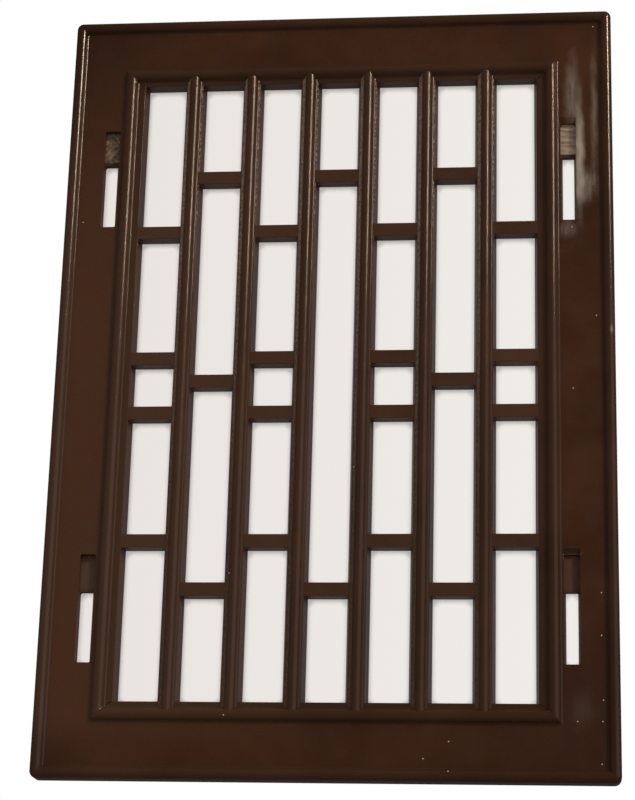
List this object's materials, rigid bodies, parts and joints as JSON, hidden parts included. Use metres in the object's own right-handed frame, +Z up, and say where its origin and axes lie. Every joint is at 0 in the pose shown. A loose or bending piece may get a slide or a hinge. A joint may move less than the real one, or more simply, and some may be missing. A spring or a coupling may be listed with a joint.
{
  "type": "ventilation grille",
  "caption": "Rectangular ventilation grille plate with a lattice of beaded upright bars and staggered cross ties, a raised rim and hook slots in its side margins.",
  "frame": {"origin": "middle of the back plane, which lies on the wall", "axes": "+X to the right as seen from the front, +Y into the wall, +Z up"},
  "size_m": [0.165, 0.0065, 0.235],
  "materials": {
    "brown_plastic": "glossy dark brown injection moulding"
  },
  "bodies": {
    "root": {"rim_top": "brown_plastic", "rim_bottom": "brown_plastic", "rim_left": "brown_plastic", "rim_right": "brown_plastic", "margin_top": "brown_plastic", "margin_bottom": "brown_plastic", "margin_left": "brown_plastic", "margin_right": "brown_plastic", "hook_socket_upper_left": "brown_plastic", "hook_socket_upper_right": "brown_plastic", "hook_socket_lower_left": "brown_plastic", "hook_socket_lower_right": "brown_plastic", "border_top": "brown_plastic", "border_bottom": "brown_plastic", "border_left": "brown_plastic", "border_right": "brown_plastic", "mullion_1": "brown_plastic", "mullion_2": "brown_plastic", "mullion_3": "brown_plastic", "mullion_4": "brown_plastic", "mullion_5": "brown_plastic", "mullion_6": "brown_plastic", "tie_1_1": "brown_plastic", "tie_1_2": "brown_plastic", "tie_1_3": "brown_plastic", "tie_1_4": "brown_plastic", "tie_2_1": "brown_plastic", "tie_2_2": "brown_plastic", "tie_2_3": "brown_plastic", "tie_3_1": "brown_plastic", "tie_3_2": "brown_plastic", "tie_3_3": "brown_plastic", "tie_3_4": "brown_plastic", "tie_4_1": "brown_plastic", "tie_4_2": "brown_plastic", "tie_5_1": "brown_plastic", "tie_5_2": "brown_plastic", "tie_5_3": "brown_plastic", "tie_5_4": "brown_plastic", "tie_6_1": "brown_plastic", "tie_6_2": "brown_plastic", "tie_6_3": "brown_plastic", "tie_7_1": "brown_plastic", "tie_7_2": "brown_plastic", "tie_7_3": "brown_plastic", "tie_7_4": "brown_plastic"}
  },
  "joints": []
}
